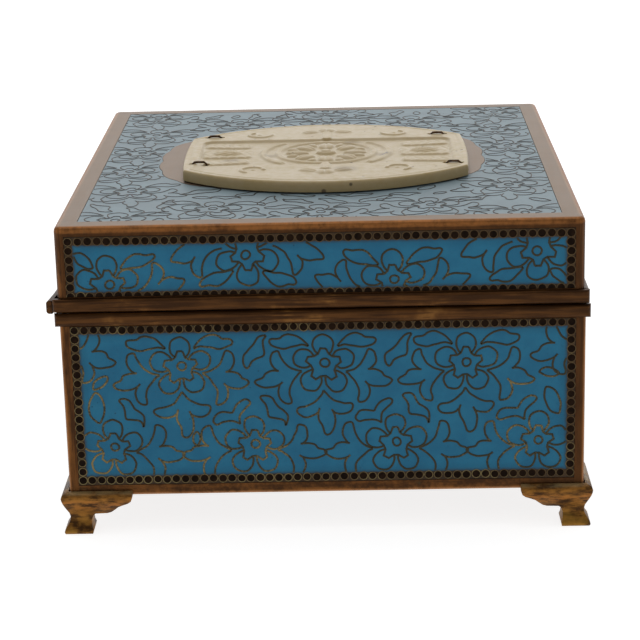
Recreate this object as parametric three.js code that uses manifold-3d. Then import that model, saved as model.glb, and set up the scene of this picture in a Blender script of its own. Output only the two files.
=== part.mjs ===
// A rectangular cloisonne enamel box with a lift-off lid, a carved jade plaque wired
// to the lid, and four cast bracket feet.
//
// Millimetres. +Z is up, the front looks along -Y, and the origin is on the ground
// under the middle of the body.

import * as THREE from 'three';
import { mergeVertices } from 'three/addons/utils/BufferGeometryUtils.js';
import Module from 'manifold-3d';

const wasm = await Module();
wasm.setup();

// ---------------------------------------------------------------- driving sizes

const WIDTH = 127;                  // outside of the copper walls, left to right
const DEPTH = 142.2;                // outside of the copper walls, front to back
const GROUND_CLEARANCE = 9.8;       // underside of the body above the ground
const RIM = 56.85;                  // top edge of the body's walls
const LID_BOTTOM = 57.2;            // bottom edge of the lid's walls
const LID_TOP = 78.2;               // bare border of the lid's top
const LID_SHIFT = -0.3;             // the loose lid lies this far off centre, along X

const WALL = 2.2;                   // copper and enamel together
const FLOOR = 1.3;                  // copper floor of the body
const SUNK = 1.3;                   // depth of the fields that take the enamel
const ENAMEL = 1.0;                 // thickness of the fired enamel
const PROUD = 0.05;                 // bare copper stands this far above the enamel
const SEAM = 0.12;                  // joint round an enamel field
const CORNER_RADIUS = 0.7;          // vertical corners of the body
const CLEAR = 1;                    // a cutting block runs this far past what it cuts
const JOIN = 0.1;                   // forms that are one piece run this far into each other

const POST = 2.4;                   // bare corner strips on every side
const BOTTOM_RAIL = 2.5;            // bare strip along the foot of the body
const LID_RAIL = 2.4;               // bare strip along the top of the lid's sides
const TOP_BORDER = 5.2;             // bare border round the top enamel
const TOP_ROUNDING = 1.3;           // rounded arris of the lid

const STRIP_HEIGHT = 3.3;           // rounded strips round the rim and the lid
const STRIP_PROUD = 1.1;            // how far they stand out of the walls
const REBATE = 0.6;                 // depth of the seat that each strip lies in
const STRIP_GAP = 0.3;              // behind each strip, in its seat
const STRIP_PLAY = 0.1;             // above or below each strip, in its seat
const BODY_FIELD_GAP = 0.15;        // bare copper between the body's fields and its strips
const LID_FIELD_GAP = 0.25;         // and between the lid's fields and its strips
const SPRUNG_LENGTH = 16;           // the left lid strip has come away over this length
const SPRUNG_OUT = 1.7;             // how far out its front end stands
const SPRUNG_DOWN = 0.7;            // how far down its front end hangs
const SPRUNG_SECTIONS = 14;

const LIP_HEIGHT = 2.4;             // locating lip above the rim
const LIP_THICKNESS = 1.0;
const LIP_CLEARANCE = 1.3;          // between the lip and the lid's inner walls
const LIP_ROOT = 4;                 // how far the lip's liner reaches below the rim
const LIP_SEAT = 0.5;               // how far the lip runs down into its liner

const PLAQUE_CENTRE = [1.2, -6.3];  // it is tied nearer the front than the middle of the lid
const PLAQUE_HALF_WIDTH = 36.8;
const PLAQUE_HALF_DEPTH = 35.6;
const PLAQUE_BOW_RADIUS = 50;       // the bowed front and back edges
const PLAQUE_THICKNESS = 2.8;       // up to its plain border
const PLAQUE_STANDOFF = 0.4;        // air under the plaque
const RESERVE_HALF_WIDTH = 43.6;    // the bare copper in the middle of the lid, under the plaque
const RESERVE_HALF_DEPTH = 37.4;
const RESERVE_POWER = 2.7;
const RESERVE_LOBES = 22;
const RESERVE_LOBE_DEPTH = 0.7;

const TIE_WIRE = 0.3;               // radius of the copper wire
const TIE_HOLE = 0.65;              // radius of the holes drilled for it
const TIE_SPAN = 3.8;               // between the two holes of one tie
const TIE_SLACK = 0.1;              // air between the wire and the jade under it
const TIE_BEND = [0.35, 0.9];       // the wire turns over within this much, across and down

// ---------------------------------------------------------------- materials

const metal = (color, roughness) => new THREE.MeshStandardMaterial({ color, roughness, metalness: 1 });
const glaze = (color, roughness) => new THREE.MeshStandardMaterial({ color, roughness, metalness: 0 });

const COPPER = metal(0x6b4526, 0.45);
const STRIP_COPPER = metal(0x60401f, 0.4);
const CAST_BRASS = metal(0x7d5a26, 0.5);
const WIRE_COPPER = metal(0x35200f, 0.6);
const TURQUOISE = glaze(0x2a6f8e, 0.15);
const JADE = glaze(0xc9b68c, 0.35);

// ---------------------------------------------------------------- solids from three.js shapes

/** A three.js geometry as a solid that can be cut and joined. */
function solid(geometry) {
  const bare = geometry.clone();
  bare.deleteAttribute('normal');
  bare.deleteAttribute('uv');
  const merged = mergeVertices(bare, 1e-4);
  return new wasm.Manifold(new wasm.Mesh({
    numProp: 3,
    vertProperties: new Float32Array(merged.attributes.position.array),
    triVerts: Uint32Array.from(merged.index.array),
  }));
}

/** A solid as a named mesh. */
function named(name, body, material) {
  const mesh = body.getMesh();
  const geometry = new THREE.BufferGeometry();
  geometry.setAttribute('position', new THREE.BufferAttribute(mesh.vertProperties, 3));
  geometry.setIndex(new THREE.BufferAttribute(mesh.triVerts, 1));
  geometry.computeVertexNormals();
  const piece = new THREE.Mesh(geometry, material);
  piece.name = name;
  return piece;
}

/** A block between two corners. */
function block([x0, y0, z0], [x1, y1, z1]) {
  const geometry = new THREE.BoxGeometry(x1 - x0, y1 - y0, z1 - z0);
  geometry.translate((x0 + x1) / 2, (y0 + y1) / 2, (z0 + z1) / 2);
  return solid(geometry);
}

/** A block centred on the Z axis. */
function centred(halfX, halfY, z0, z1) {
  return block([-halfX, -halfY, z0], [halfX, halfY, z1]);
}

const outline = (points) => new THREE.Shape(points.map(([x, y]) => new THREE.Vector2(x, y)));

function extruded(shape, depth, options = {}) {
  return new THREE.ExtrudeGeometry(shape, { depth, bevelEnabled: false, curveSegments: 6, ...options });
}

/** A plan outline raised from z0 to z1. */
function raised(shape, z0, z1, options) {
  const geometry = extruded(shape, z1 - z0, options);
  geometry.translate(0, 0, z0);
  return solid(geometry);
}

/** A profile in (x, z) carried along Y from y0 to y1. */
function alongY(shape, y0, y1, options) {
  const geometry = extruded(shape, y1 - y0, options);
  geometry.rotateX(Math.PI / 2);
  geometry.translate(0, y1, 0);
  return solid(geometry);
}

function roundedRectangle(halfX, halfY, radius) {
  const shape = new THREE.Shape();
  const corners = [[1, -1, -0.5], [1, 1, 0], [-1, 1, 0.5], [-1, -1, 1]];
  for (const [sx, sy, turn] of corners) {
    const start = turn * Math.PI;
    shape.absarc(sx * (halfX - radius), sy * (halfY - radius), radius, start, start + Math.PI / 2);
  }
  shape.closePath();
  return shape;
}

// ---------------------------------------------------------------- the four sides

const HALF = { x: WIDTH / 2, y: DEPTH / 2 };
const SIDES = [
  { side: 'front', along: 'x', sign: -1 },
  { side: 'back', along: 'x', sign: 1 },
  { side: 'left', along: 'y', sign: -1 },
  { side: 'right', along: 'y', sign: 1 },
];

/** A block on one side, from `inner` to `outer` measured outwards from the wall's face. */
function onSide({ along, sign }, halfLength, inner, outer, z0, z1) {
  const across = along === 'x' ? 'y' : 'x';
  const face = HALF[across];
  const [near, far] = [sign * (face + inner), sign * (face + outer)].sort((a, b) => a - b);
  const low = { [along]: -halfLength, [across]: near };
  const high = { [along]: halfLength, [across]: far };
  return block([low.x, low.y, z0], [high.x, high.y, z1]);
}

/** The sunk fields of four walls, between the corner strips and two heights. */
function sunkFields(z0, z1) {
  return SIDES.map((s) => onSide(s, HALF[s.along] - POST, -SUNK, CLEAR, z0, z1));
}

/** The enamel that fills those fields. */
function enamelFields(prefix, z0, z1) {
  return SIDES.map((s) => named(
    `${prefix}_${s.side}`,
    onSide(s, HALF[s.along] - POST - SEAM, -ENAMEL - PROUD, -PROUD, z0 + SEAM, z1 - SEAM),
    TURQUOISE,
  ));
}

/** The seat cut round the walls for the rounded strips. */
function stripSeat(z0, z1) {
  const around = centred(HALF.x + CLEAR, HALF.y + CLEAR, z0, z1);
  return around.subtract(centred(HALF.x - REBATE, HALF.y - REBATE, z0 - CLEAR, z1 + CLEAR));
}

// ---------------------------------------------------------------- rounded strips

/** Cross-section of a strip: v outwards from the wall's face, z upwards. */
function stripProfile(rounding) {
  const back = STRIP_GAP - REBATE;
  const shape = new THREE.Shape();
  shape.moveTo(back, 0);
  shape.lineTo(STRIP_PROUD - rounding, 0);
  shape.absarc(STRIP_PROUD - rounding, rounding, rounding, -Math.PI / 2, 0);
  shape.absarc(STRIP_PROUD - rounding, STRIP_HEIGHT - rounding, rounding, 0, Math.PI / 2);
  shape.lineTo(back, STRIP_HEIGHT);
  shape.closePath();
  return shape;
}

/** A straight strip on one side, its foot at z0; ends as half its length along the side. */
function strip({ along, sign }, halfLength, rounding, z0, steps = 1) {
  const geometry = extruded(stripProfile(rounding), 2 * halfLength, { curveSegments: 4, steps });
  geometry.rotateX(Math.PI / 2);
  geometry.translate(0, halfLength, 0);
  // Now v lies along +X and the length along Y: turn it to its own side.
  const face = along === 'y' ? HALF.x : HALF.y;
  geometry.translate(face, 0, z0);
  const quarterTurns = along === 'y' ? (sign > 0 ? 0 : 2) : sign > 0 ? 1 : 3;
  geometry.rotateZ(quarterTurns * Math.PI / 2);
  return geometry;
}

/**
 * Bends the front end of the left strip outwards and down, as if it had lost its solder.
 * Its cross-sections are first drawn together towards that end, where the bend is.
 */
function spring(geometry, halfLength) {
  const position = geometry.attributes.position;
  for (let i = 0; i < position.count; i += 1) {
    const share = (position.getY(i) + halfLength) / (2 * halfLength);
    const fromEnd = 2 * halfLength * share ** 2;
    const bend = Math.max(0, 1 - fromEnd / SPRUNG_LENGTH) ** 2;
    position.setXYZ(
      i,
      position.getX(i) - SPRUNG_OUT * bend,
      fromEnd - halfLength,
      position.getZ(i) - SPRUNG_DOWN * bend,
    );
  }
  return geometry;
}

/** The four strips of one level. The front and back ones run past the side ones. */
function strips(prefix, z0, rounding, sprungLeft) {
  const corner = raised(
    roundedRectangle(HALF.x + STRIP_PROUD, HALF.y + STRIP_PROUD, STRIP_PROUD),
    z0 - CLEAR,
    z0 + STRIP_HEIGHT + CLEAR,
  );
  const butt = STRIP_GAP + REBATE;
  return SIDES.map((s) => {
    const name = `${prefix}_${s.side}`;
    if (s.along === 'x') {
      const long = solid(strip(s, HALF.x + STRIP_PROUD, rounding, z0));
      return named(name, long.intersect(corner), STRIP_COPPER);
    }
    const halfLength = HALF.y - butt;
    if (sprungLeft && s.sign < 0) {
      const bent = spring(strip(s, halfLength, rounding, z0, SPRUNG_SECTIONS), halfLength);
      return named(name, solid(bent), STRIP_COPPER);
    }
    return named(name, solid(strip(s, halfLength, rounding, z0)), STRIP_COPPER);
  });
}

// ---------------------------------------------------------------- body

const BODY_STRIP_FOOT = RIM - STRIP_HEIGHT;
const BODY_FIELD_TOP = BODY_STRIP_FOOT - BODY_FIELD_GAP;
const INNER = { x: HALF.x - WALL, y: HALF.y - WALL };

function bodyShell() {
  const outer = raised(roundedRectangle(HALF.x, HALF.y, CORNER_RADIUS), GROUND_CLEARANCE, RIM);
  const well = centred(INNER.x, INNER.y, GROUND_CLEARANCE + FLOOR, RIM + CLEAR);
  const lipOuter = { x: INNER.x - LIP_CLEARANCE, y: INNER.y - LIP_CLEARANCE };
  const mouth = { x: lipOuter.x - LIP_THICKNESS, y: lipOuter.y - LIP_THICKNESS };
  const liner = centred(INNER.x + JOIN, INNER.y + JOIN, RIM - LIP_ROOT, RIM);
  const lip = centred(lipOuter.x, lipOuter.y, RIM - LIP_SEAT, RIM + LIP_HEIGHT);
  const opening = centred(mouth.x, mouth.y, RIM - LIP_ROOT - CLEAR, RIM + LIP_HEIGHT + CLEAR);
  let shell = outer.subtract(well).add(liner.add(lip).subtract(opening));
  for (const field of sunkFields(GROUND_CLEARANCE + BOTTOM_RAIL, BODY_FIELD_TOP)) {
    shell = shell.subtract(field);
  }
  return shell.subtract(stripSeat(BODY_STRIP_FOOT - STRIP_PLAY, RIM));
}

// ---------------------------------------------------------------- feet

const FOOT_ARM = 15.6;              // length of each bracket arm along its wall
const FOOT_TOP = 11.0;              // the cast rim laps the walls up to here
const FOOT_ARM_THICKNESS = 3.6;
const FOOT_SOLE_INSET = 5.4;        // inner face of the leg block, from the wall's face
const FOOT_GAP = 0.3;               // solder between the casting and the walls

/** Outer face of the casting: [outwards from the wall, height], an ogee over a flared toe. */
const FOOT_OGEE = [
  [1.4, 0], [1.65, 0.5], [1.5, 1.1], [0.9, 2.0], [0.3, 3.0], [0.1, 4.1],
  [0.35, 5.2], [0.85, 6.2], [1.3, 7.1], [1.7, 8.0], [2.0, 8.9],
  [2.1, 9.6], [1.9, 10.2], [1.4, 10.65], [0.8, 10.9], [0.5, FOOT_TOP],
];

/** Inner edge of the bracket: [inwards from the wall, height]. */
const FOOT_BRACKET = [
  [FOOT_ARM, FOOT_TOP], [FOOT_ARM, 9.6], [15.2, 8.5], [14.4, 7.9], [13.1, 7.4], [12.0, 6.9],
  [11.1, 6.1], [10.1, 5.3], [9.1, 5.0], [6.1, 4.9], [5.5, 4.3],
  [5.1, 3.2], [5.3, 1.6], [5.6, 0.8], [5.4, 0],
];

/** The foot under the corner at (sx, sy). */
function foot(sx, sy) {
  const silhouette = outline([
    ...FOOT_OGEE.map(([v, z]) => [HALF.x + v, z]),
    ...FOOT_BRACKET.map(([u, z]) => [HALF.x - u, z]),
  ]);
  const front = alongY(silhouette, -2 * HALF.y, 2 * HALF.y);
  const side = alongY(silhouette, -2 * HALF.y, 2 * HALF.y)
    .translate([HALF.y - HALF.x, 0, 0])
    .rotate([0, 0, 90]);
  const wallsAbove = block(
    [0, 0, GROUND_CLEARANCE - FOOT_GAP],
    [HALF.x + FOOT_GAP, HALF.y + FOOT_GAP, RIM],
  );
  const hollow = block(
    [0, 0, -CLEAR],
    [HALF.x - FOOT_ARM_THICKNESS, HALF.y - FOOT_ARM_THICKNESS, RIM],
  );
  const leg = block(
    [HALF.x - FOOT_SOLE_INSET - CLEAR, HALF.y - FOOT_SOLE_INSET - CLEAR, -CLEAR],
    [2 * HALF.x, 2 * HALF.y, GROUND_CLEARANCE - FOOT_GAP],
  );
  const casting = front.intersect(side);
  const corner = casting.subtract(hollow).add(casting.intersect(leg)).subtract(wallsAbove);
  return corner.scale([sx, sy, 1]);
}

// ---------------------------------------------------------------- lid

const LID_FIELD_BOTTOM = LID_BOTTOM + STRIP_HEIGHT + LID_FIELD_GAP;
const LID_FIELD_TOP = LID_TOP - LID_RAIL;

/** The bare reserve in the middle of the top: a squarish oval with a shallow lobed edge. */
function reserveShape(grow) {
  const samplesPerLobe = 4;
  const count = RESERVE_LOBES * samplesPerLobe;
  const points = [];
  for (let i = 0; i < count; i += 1) {
    const angle = (i / count) * 2 * Math.PI;
    const c = Math.cos(angle);
    const s = Math.sin(angle);
    const oval = (Math.abs(c / RESERVE_HALF_WIDTH) ** RESERVE_POWER
      + Math.abs(s / RESERVE_HALF_DEPTH) ** RESERVE_POWER) ** (-1 / RESERVE_POWER);
    const lobe = RESERVE_LOBE_DEPTH * Math.abs(Math.sin((angle * RESERVE_LOBES) / 2));
    const radius = oval + lobe - RESERVE_LOBE_DEPTH + grow;
    points.push([radius * c, radius * s]);
  }
  return outline(points);
}

/** The reserve as a block through the top, its outline grown by `grow`. */
function reserve(grow) {
  return raised(reserveShape(grow), LID_TOP - 2 * SUNK, LID_TOP + 2 * CLEAR);
}

function lidShell() {
  const rounded = raised(
    roundedRectangle(HALF.x - TOP_ROUNDING, HALF.y - TOP_ROUNDING, CORNER_RADIUS),
    LID_BOTTOM - 2 * TOP_ROUNDING,
    LID_TOP - TOP_ROUNDING,
    {
      bevelEnabled: true, bevelThickness: TOP_ROUNDING, bevelSize: TOP_ROUNDING, bevelSegments: 4,
      curveSegments: 3,
    },
  );
  const outer = rounded.intersect(centred(WIDTH, DEPTH, LID_BOTTOM, LID_TOP + CLEAR));
  const hollow = centred(INNER.x, INNER.y, LID_BOTTOM - CLEAR, LID_TOP - WALL);
  const { x, y } = { x: HALF.x - TOP_BORDER, y: HALF.y - TOP_BORDER };
  const topField = centred(x, y, LID_TOP - SUNK, LID_TOP + CLEAR).subtract(reserve(0));
  let shell = outer.subtract(hollow).subtract(topField);
  for (const field of sunkFields(LID_FIELD_BOTTOM, LID_FIELD_TOP)) {
    shell = shell.subtract(field);
  }
  return shell.subtract(stripSeat(LID_BOTTOM - CLEAR, LID_BOTTOM + STRIP_HEIGHT + STRIP_PLAY));
}

function lidTopEnamel() {
  const top = LID_TOP - PROUD;
  const field = centred(
    HALF.x - TOP_BORDER - SEAM,
    HALF.y - TOP_BORDER - SEAM,
    top - ENAMEL,
    top,
  );
  return field.subtract(reserve(SEAM));
}

// ---------------------------------------------------------------- jade plaque

const PLAQUE_FOOT = LID_TOP + PLAQUE_STANDOFF;
const PLAQUE_TOP = PLAQUE_FOOT + PLAQUE_THICKNESS;
const PLAQUE_EDGE = 0.5;            // rounding of its edges
const FIELD_HALF_WIDTH = 33.4;
const FIELD_HALF_DEPTH = 15.4;
const FIELD_CORNER = 3;
const FIELD_DEPTH = 0.9;            // the carved field lies this far below the border
const CARVED_EDGE = 0.35;           // slope at the edge of every raised form
const CARVED_ROOT = 0.6;            // how far the forms are rooted in the slab
const ARC_STEP = 200;               // facets of a carved arc: millimetre-degrees for each
const BAR_ROUNDING = 1.44;          // corners of a carved bar, at most
const BAR_ROUNDING_SHARE = 0.9;     // and as a share of its narrow half

/** Straight ends, slightly swelled, and long edges bowed to one radius. */
function plaqueShape(inset) {
  const halfWidth = PLAQUE_HALF_WIDTH - inset;
  const radius = PLAQUE_BOW_RADIUS;
  const centre = radius - (PLAQUE_HALF_DEPTH - inset);
  const sweep = Math.asin(halfWidth / radius);
  const swell = 1.4;
  const corner = radius * Math.cos(sweep) - centre;
  const shape = new THREE.Shape();
  shape.absarc(0, centre, radius, -Math.PI / 2 - sweep, -Math.PI / 2 + sweep);
  shape.quadraticCurveTo(halfWidth + swell, 0, halfWidth, corner);
  shape.absarc(0, -centre, radius, Math.PI / 2 - sweep, Math.PI / 2 + sweep);
  shape.quadraticCurveTo(-halfWidth - swell, 0, -halfWidth, -corner);
  return shape;
}

/** A raised form of the carving, from its outline and its height above the carved field. */
function carved(shape, height) {
  const root = PLAQUE_TOP - FIELD_DEPTH - CARVED_ROOT;
  const top = PLAQUE_TOP - FIELD_DEPTH + height;
  return raised(shape, root + CARVED_EDGE, top - CARVED_EDGE, {
    bevelEnabled: true,
    bevelThickness: CARVED_EDGE,
    bevelSize: CARVED_EDGE,
    bevelOffset: -CARVED_EDGE,
    bevelSegments: 1,
    curveSegments: 2,
  });
}

/** A bar with rounded corners, its middle at (x, y), turned about it by `turn` degrees. */
function carvedBar({ x, y, halfX, halfY, turn = 0, height = FIELD_DEPTH }) {
  const radius = Math.min(BAR_ROUNDING, BAR_ROUNDING_SHARE * Math.min(halfX, halfY));
  return carved(roundedRectangle(halfX, halfY, radius), height)
    .rotate([0, 0, turn])
    .translate([x, y, 0]);
}

/** A ring, or part of one, round (x, y): it runs through `sweep` degrees about `middle`. */
function carvedArc({ x, y, radius, width, middle = 0, sweep = 360, height = FIELD_DEPTH }) {
  const [start, end] = [middle - sweep / 2, middle + sweep / 2].map(THREE.MathUtils.degToRad);
  const shape = new THREE.Shape();
  shape.absarc(0, 0, radius, start, end);
  if (sweep < 360) {
    shape.absarc(0, 0, radius - width, end, start, true);
    shape.closePath();
  } else {
    const hole = new THREE.Path();
    hole.absarc(0, 0, radius - width, start, end, true);
    shape.holes.push(hole);
  }
  const root = PLAQUE_TOP - FIELD_DEPTH - CARVED_ROOT;
  const curveSegments = Math.ceil((radius * sweep) / ARC_STEP);
  return raised(shape, root, PLAQUE_TOP - FIELD_DEPTH + height, { curveSegments })
    .translate([x, y, 0]);
}

/** A raised oval boss, its middle at (x, y), turned about it by `turn` degrees. */
function carvedBoss({ x, y, halfX, halfY, turn = 0, height }) {
  const dome = new THREE.SphereGeometry(1, 12, 6);
  dome.rotateX(Math.PI / 2);
  dome.scale(halfX, halfY, height);
  return solid(dome)
    .rotate([0, 0, turn])
    .translate([x, y, PLAQUE_TOP - FIELD_DEPTH]);
}

/** The petals of the rosette in the roundel. */
const ROUNDEL_Y = 0.4;
const PETALS = Array.from({ length: 8 }, (_, i) => {
  const turn = i * 45;
  const angle = THREE.MathUtils.degToRad(turn);
  const out = 7.7;
  return {
    make: carvedBoss,
    mirrored: false,
    x: out * Math.sin(angle),
    y: ROUNDEL_Y + out * Math.cos(angle),
    halfX: 2.1,
    halfY: 3.2,
    turn: -turn,
    height: 1.0,
  };
});

/**
 * The forms of the carving: a rosette in a roundel, a rib and three feathered pads on each
 * side like wings, a trefoil sprig in the middle of each bowed border and a curl to each
 * side of it. A form off the centre line has its mirror image on the other side.
 */
const ON_BORDER = FIELD_DEPTH + 0.35;
const CURL = FIELD_DEPTH + 0.3;
const CARVING = [
  ...PETALS,
  { make: carvedBoss, x: 0, y: ROUNDEL_Y, halfX: 2.6, halfY: 2.6, height: 1.3 },
  { make: carvedArc, x: 0, y: ROUNDEL_Y, radius: 13.6, width: 1.7 },
  { make: carvedArc, mirrored: true, x: 0, y: ROUNDEL_Y, radius: 17.6, width: 1.7, sweep: 96 },
  { make: carvedBar, x: 26.4, y: 10.0, halfX: 6.2, halfY: 2.5, turn: 8 },
  { make: carvedBar, x: 26.2, y: 0.2, halfX: 6.4, halfY: 4.7 },
  { make: carvedBoss, x: 26.2, y: 0.2, halfX: 4.4, halfY: 3.2, height: 1.4 },
  { make: carvedBar, x: 26.4, y: -9.8, halfX: 6.2, halfY: 2.5, turn: -8 },
  { make: carvedBar, x: 0, y: 19.6, halfX: 1.3, halfY: 4.6, height: ON_BORDER },
  { make: carvedBoss, x: 0, y: 26.6, halfX: 2.9, halfY: 2.9, height: 1.5 },
  { make: carvedBoss, x: 4.4, y: 24.6, halfX: 3.3, halfY: 2.2, turn: -24, height: 1.4 },
  { make: carvedBar, x: 0, y: -18.4, halfX: 1.3, halfY: 3.4, height: ON_BORDER },
  { make: carvedBoss, x: 0, y: -24.8, halfX: 2.9, halfY: 2.9, height: 1.5 },
  { make: carvedBoss, x: 4.6, y: -22.8, halfX: 3.5, halfY: 2.2, turn: 24, height: 1.4 },
  { make: carvedArc, x: 18.6, y: -21.2, radius: 3.6, width: 1.3, middle: 60, sweep: 250, height: CURL },
  { make: carvedArc, x: 18.6, y: 22.2, radius: 3.6, width: 1.3, middle: -60, sweep: 250, height: CURL },
];

/** A carved form and, if it has one, its mirror image. */
function carvedPair({ make, mirrored, ...form }) {
  const pair = [make(form)];
  if (mirrored ?? form.x > 0) {
    pair.push(make(form).mirror([1, 0, 0]));
  }
  return pair;
}

const TIES = [
  { name: 'tie_1', x: -30.9, y: 20.3 },
  { name: 'tie_2', x: -33.0, y: -12.2 },
  { name: 'tie_3', x: 30.4, y: 19.7 },
  { name: 'tie_4', x: 33.2, y: -16.6 },
];

/** The hole for one end of a tie. */
function tieHole(x, y) {
  const drill = new THREE.CylinderGeometry(TIE_HOLE, TIE_HOLE, 3 * PLAQUE_THICKNESS, 10);
  drill.rotateX(Math.PI / 2);
  drill.translate(x, y, PLAQUE_TOP);
  return solid(drill);
}

function jadePlaque() {
  const slab = raised(
    plaqueShape(PLAQUE_EDGE),
    PLAQUE_FOOT + PLAQUE_EDGE,
    PLAQUE_TOP - PLAQUE_EDGE,
    {
      bevelEnabled: true, bevelThickness: PLAQUE_EDGE, bevelSize: PLAQUE_EDGE, bevelSegments: 2,
      curveSegments: 16,
    },
  );
  let plaque = slab.subtract(raised(
    roundedRectangle(FIELD_HALF_WIDTH, FIELD_HALF_DEPTH, FIELD_CORNER),
    PLAQUE_TOP - FIELD_DEPTH,
    PLAQUE_TOP + CLEAR,
  ));
  for (const carving of CARVING.flatMap(carvedPair)) {
    plaque = plaque.add(carving);
  }
  for (const tie of TIES) {
    plaque = plaque.subtract(tieHole(tie.x - TIE_SPAN / 2, tie.y));
    plaque = plaque.subtract(tieHole(tie.x + TIE_SPAN / 2, tie.y));
  }
  return plaque.translate([...PLAQUE_CENTRE, 0]);
}

/** A wire staple: down one hole, over the jade and down the other. */
function tieWire({ x, y }) {
  const low = PLAQUE_FOOT + TIE_SLACK;
  const high = PLAQUE_TOP + TIE_WIRE + TIE_SLACK;
  const half = TIE_SPAN / 2;
  const [across, down] = TIE_BEND;
  const path = new THREE.CatmullRomCurve3([
    new THREE.Vector3(x - half, y, low),
    new THREE.Vector3(x - half, y, high - down),
    new THREE.Vector3(x - half + across, y, high - TIE_SLACK),
    new THREE.Vector3(x, y, high),
    new THREE.Vector3(x + half - across, y, high - TIE_SLACK),
    new THREE.Vector3(x + half, y, high - down),
    new THREE.Vector3(x + half, y, low),
  ], false, 'catmullrom', 0.3);
  const section = new THREE.Shape();
  section.absarc(0, 0, TIE_WIRE, 0, 2 * Math.PI);
  const wire = extruded(section, 1, { extrudePath: path, steps: 11, curveSegments: 4 });
  wire.translate(...PLAQUE_CENTRE, 0);
  return solid(wire);
}

// ---------------------------------------------------------------- the box

const box = new THREE.Group();

box.add(named('body_shell', bodyShell(), COPPER));
box.add(...enamelFields('body_enamel', GROUND_CLEARANCE + BOTTOM_RAIL, BODY_FIELD_TOP));
box.add(...strips('body_moulding', BODY_STRIP_FOOT, 1.05, false));
for (const [y, sy] of [['front', -1], ['back', 1]]) {
  for (const [x, sx] of [['left', -1], ['right', 1]]) {
    box.add(named(`foot_${y}_${x}`, foot(sx, sy), CAST_BRASS));
  }
}

const lid = new THREE.Group();
lid.position.x = LID_SHIFT;
lid.add(named('lid_shell', lidShell(), COPPER));
lid.add(...enamelFields('lid_enamel', LID_FIELD_BOTTOM, LID_FIELD_TOP));
lid.add(named('lid_enamel_top', lidTopEnamel(), TURQUOISE));
lid.add(...strips('lid_moulding', LID_BOTTOM, 0.75, true));
lid.add(named('jade_plaque', jadePlaque(), JADE));
for (const tie of TIES) {
  lid.add(named(tie.name, tieWire(tie), WIRE_COPPER));
}
box.add(lid);

export default box;
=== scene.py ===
import math
import random
from contextlib import contextmanager
from functools import reduce

import bmesh
import bpy
import numpy as np
from bpy.props import FloatProperty, FloatVectorProperty, IntProperty, PointerProperty
from mathutils import Matrix, Vector, noise


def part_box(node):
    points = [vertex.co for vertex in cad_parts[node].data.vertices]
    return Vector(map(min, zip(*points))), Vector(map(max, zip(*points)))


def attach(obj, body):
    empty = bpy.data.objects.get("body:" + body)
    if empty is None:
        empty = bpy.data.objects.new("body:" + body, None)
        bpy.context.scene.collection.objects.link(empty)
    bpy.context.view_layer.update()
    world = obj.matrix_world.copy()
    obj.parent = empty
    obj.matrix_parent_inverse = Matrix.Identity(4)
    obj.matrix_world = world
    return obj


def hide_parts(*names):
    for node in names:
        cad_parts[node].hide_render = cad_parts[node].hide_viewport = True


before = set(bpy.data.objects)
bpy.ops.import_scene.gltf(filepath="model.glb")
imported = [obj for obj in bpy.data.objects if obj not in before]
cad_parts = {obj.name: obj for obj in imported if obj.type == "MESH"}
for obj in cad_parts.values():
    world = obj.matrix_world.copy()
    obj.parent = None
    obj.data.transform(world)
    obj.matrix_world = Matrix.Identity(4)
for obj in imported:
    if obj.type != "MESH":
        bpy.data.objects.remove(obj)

bl_info = {
    "name": "Cloisonne Box",
    "version": (1, 0, 0),
    "blender": (4, 5, 0),
    "location": "3D View > Sidebar > Cloisonne Box",
    "description": "Enamels, wires and patinates the packed box, carves its plaque and sets the stage",
    "category": "Object",
}

MM = 0.001
SIDES = ("front", "back", "left", "right")
TIES = (1, 2, 3, 4)


def linear(red, green, blue):
    """An 8-bit sRGB colour as the linear numbers that shaders take."""
    def channel(value):
        share = value / 255
        return share / 12.92 if share <= 0.04045 else ((share + 0.055) / 1.055) ** 2.4
    return channel(red), channel(green), channel(blue)


# ---- Settings

def length(name, description, millimetres):
    return FloatProperty(
        name=name, description=description, default=millimetres * MM, unit="LENGTH", precision=5)


def tint(name, description, red, green, blue):
    return FloatVectorProperty(
        name=name, description=description, default=linear(red, green, blue), subtype="COLOR",
        min=0, max=1)


class CloisonSettings(bpy.types.PropertyGroup):
    wire_width: length("Wire width", "Width of a cloison on the surface", 0.46)
    wire_proud: length("Wire height", "How far the cloisons stand above the enamel", 0.07)
    wire_sunk: length("Wire depth", "How far the cloisons run down into the enamel", 0.12)
    ring_radius: length("Ring radius", "Outside radius of a border ring", 1.14)
    ring_width: length("Ring wire", "Width of the wire of a border ring", 0.2)
    ring_pitch: length("Ring pitch", "From one border ring to the next", 2.33)
    brass: tint("Clean brass", "Cloisons where they are rubbed clean", 122, 108, 72)
    tarnish: tint("Tarnish", "Cloisons where they are tarnished", 55, 52, 38)


class EnamelSettings(bpy.types.PropertyGroup):
    turquoise: tint("Turquoise", "The ground of the enamel", 24, 95, 127)
    pale: tint("Pale turquoise", "The lighter clouds in the ground", 29, 101, 131)
    # Painted sheen: the grey given to the top glaze where it is seen at a slant
    top_sheen: tint("Top glaze", "The worn glaze on the top of the lid, seen at a slant", 110, 127, 134)
    dot: tint("Dot enamel", "The dark enamel in the border rings", 28, 17, 9)
    border: tint("Border ground", "The dark ground between the border rings", 46, 33, 19)


class MetalSettings(bpy.types.PropertyGroup):
    copper: tint("Copper", "Rubbed copper of the walls", 114, 71, 31)
    patina: tint("Patina", "Dark patina of the copper", 57, 33, 11)
    strip: tint("Strip", "Rubbed copper of the rounded strips", 84, 52, 22)
    casting: tint("Casting", "Rubbed brass of the feet", 142, 96, 40)
    grime: tint("Grime", "Dirt in the hollows of the feet", 62, 39, 16)


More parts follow.
